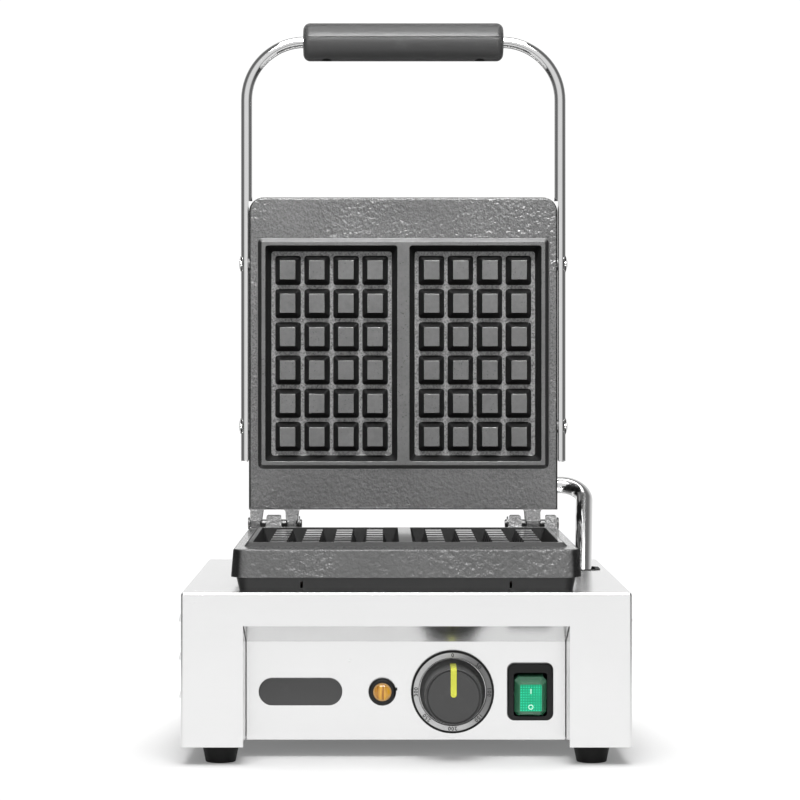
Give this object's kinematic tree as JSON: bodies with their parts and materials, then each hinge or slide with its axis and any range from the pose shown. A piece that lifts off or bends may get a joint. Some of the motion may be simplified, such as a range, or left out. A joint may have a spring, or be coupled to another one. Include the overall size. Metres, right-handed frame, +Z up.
{
  "type": "liege waffle maker",
  "caption": "Counter-top liege waffle maker: sheet-steel base with controls, hinged cast plates with stud moulds, bow handle and a swinging cable conduit",
  "frame": {"origin": "on the table under the middle of the housing's outline", "axes": "+X to the right seen from the front, +Y to the back, +Z up; the lid stands open"},
  "size_m": [0.309, 0.305, 0.5246],
  "materials": {
    "housing_steel": "fine upright brushed grain, bright",
    "floor_steel": "galvanised, dull",
    "foot_rubber": "matt black",
    "zinc_screw": "bright zinc plating",
    "seasoned_iron": "seasoned, worn bright on edges",
    "black_sheet": "matt black",
    "chrome": "polished",
    "oiled_steel": "dark, oiled",
    "element_sheath": "heat tinted",
    "grip_plastic": "satin black",
    "knob_plastic": "satin black",
    "pointer_yellow": "bright yellow-green",
    "dial_silver": "spun, with plain dark numbers",
    "lamp_black": "gloss black",
    "lamp_amber": "clear amber",
    "rocker_green": "dark translucent green",
    "window_green": "lit green",
    "badge_black": "plain black, bare",
    "terminal_ceramic": "unglazed white",
    "copper": "dull copper"
  },
  "bodies": {
    "base": {"base_shell": "housing_steel", "control_panel": "housing_steel", "rear_panel": "housing_steel", "bottom_plate": "floor_steel", "foot_front_left": "foot_rubber", "foot_front_right": "foot_rubber", "foot_rear_left": "foot_rubber", "foot_rear_right": "foot_rubber", "foot_screws": "zinc_screw", "case_screws": "zinc_screw", "skirt_pan": "black_sheet", "lower_plate": "seasoned_iron", "lower_element": "element_sheath", "lower_clamps": "floor_steel", "lower_clamp_bolts": "zinc_screw", "plate_bolts": "zinc_screw", "hinge_pin_left": "oiled_steel", "hinge_pin_right": "oiled_steel", "hinge_clips": "oiled_steel", "conduit_grommet": "foot_rubber", "dial_bezel": "knob_plastic", "dial_ring": "dial_silver", "thermostat_body": "knob_plastic", "thermostat_screws": "zinc_screw", "thermostat_bulb": "copper", "lamp_bezel": "lamp_black", "lamp_lens": "lamp_amber", "lamp_nut": "zinc_screw", "switch_bezel": "knob_plastic", "switch_body": "knob_plastic", "badge_plate": "badge_black", "terminal_block": "terminal_ceramic", "cable_gland": "knob_plastic", "gland_locknut": "zinc_screw"},
    "lid": {"upper_plate": "seasoned_iron", "upper_element": "element_sheath", "upper_clamps": "floor_steel", "upper_clamp_bolts": "zinc_screw", "lid_cover": "housing_steel", "cover_screws": "zinc_screw", "handle_rod": "chrome", "grip_lower": "grip_plastic", "grip_upper": "grip_plastic", "grip_screws": "zinc_screw", "handle_screws": "chrome", "conduit_bush": "foot_rubber"},
    "conduit": {"conduit_tube": "chrome", "conduit_collar": "zinc_screw"},
    "knob": {"thermostat_knob": "knob_plastic", "knob_pointer": "pointer_yellow", "thermostat_shaft": "zinc_screw"},
    "rocker": {"switch_rocker": "rocker_green", "switch_lens": "window_green"}
  },
  "joints": [
    {"name": "lid_hinge", "type": "hinge", "parent": "base", "child": "lid", "pos_m": [0, 0.1025, 0.1462], "axis": [1, 0, 0], "range_deg": [0, 90]},
    {"name": "conduit_swing", "type": "hinge", "parent": "lid", "child": "conduit", "pos_m": [0.1387, 0.1331, 0.1737], "axis": [1, 0, 0], "range_deg": [-54, 0]},
    {"name": "knob_turn", "type": "hinge", "parent": "base", "child": "knob", "pos_m": [0.0316, -0.1145, 0.0452], "axis": [0, 1, 0], "range_deg": [0, 270]},
    {"name": "rocker_tilt", "type": "hinge", "parent": "base", "child": "rocker", "pos_m": [0.0842, -0.1105, 0.0435], "axis": [1, 0, 0], "range_deg": [-14, 0]}
  ],
  "couplings": [
    {"joint": "conduit_swing", "follows": "lid_hinge", "ratio": -0.6}
  ]
}
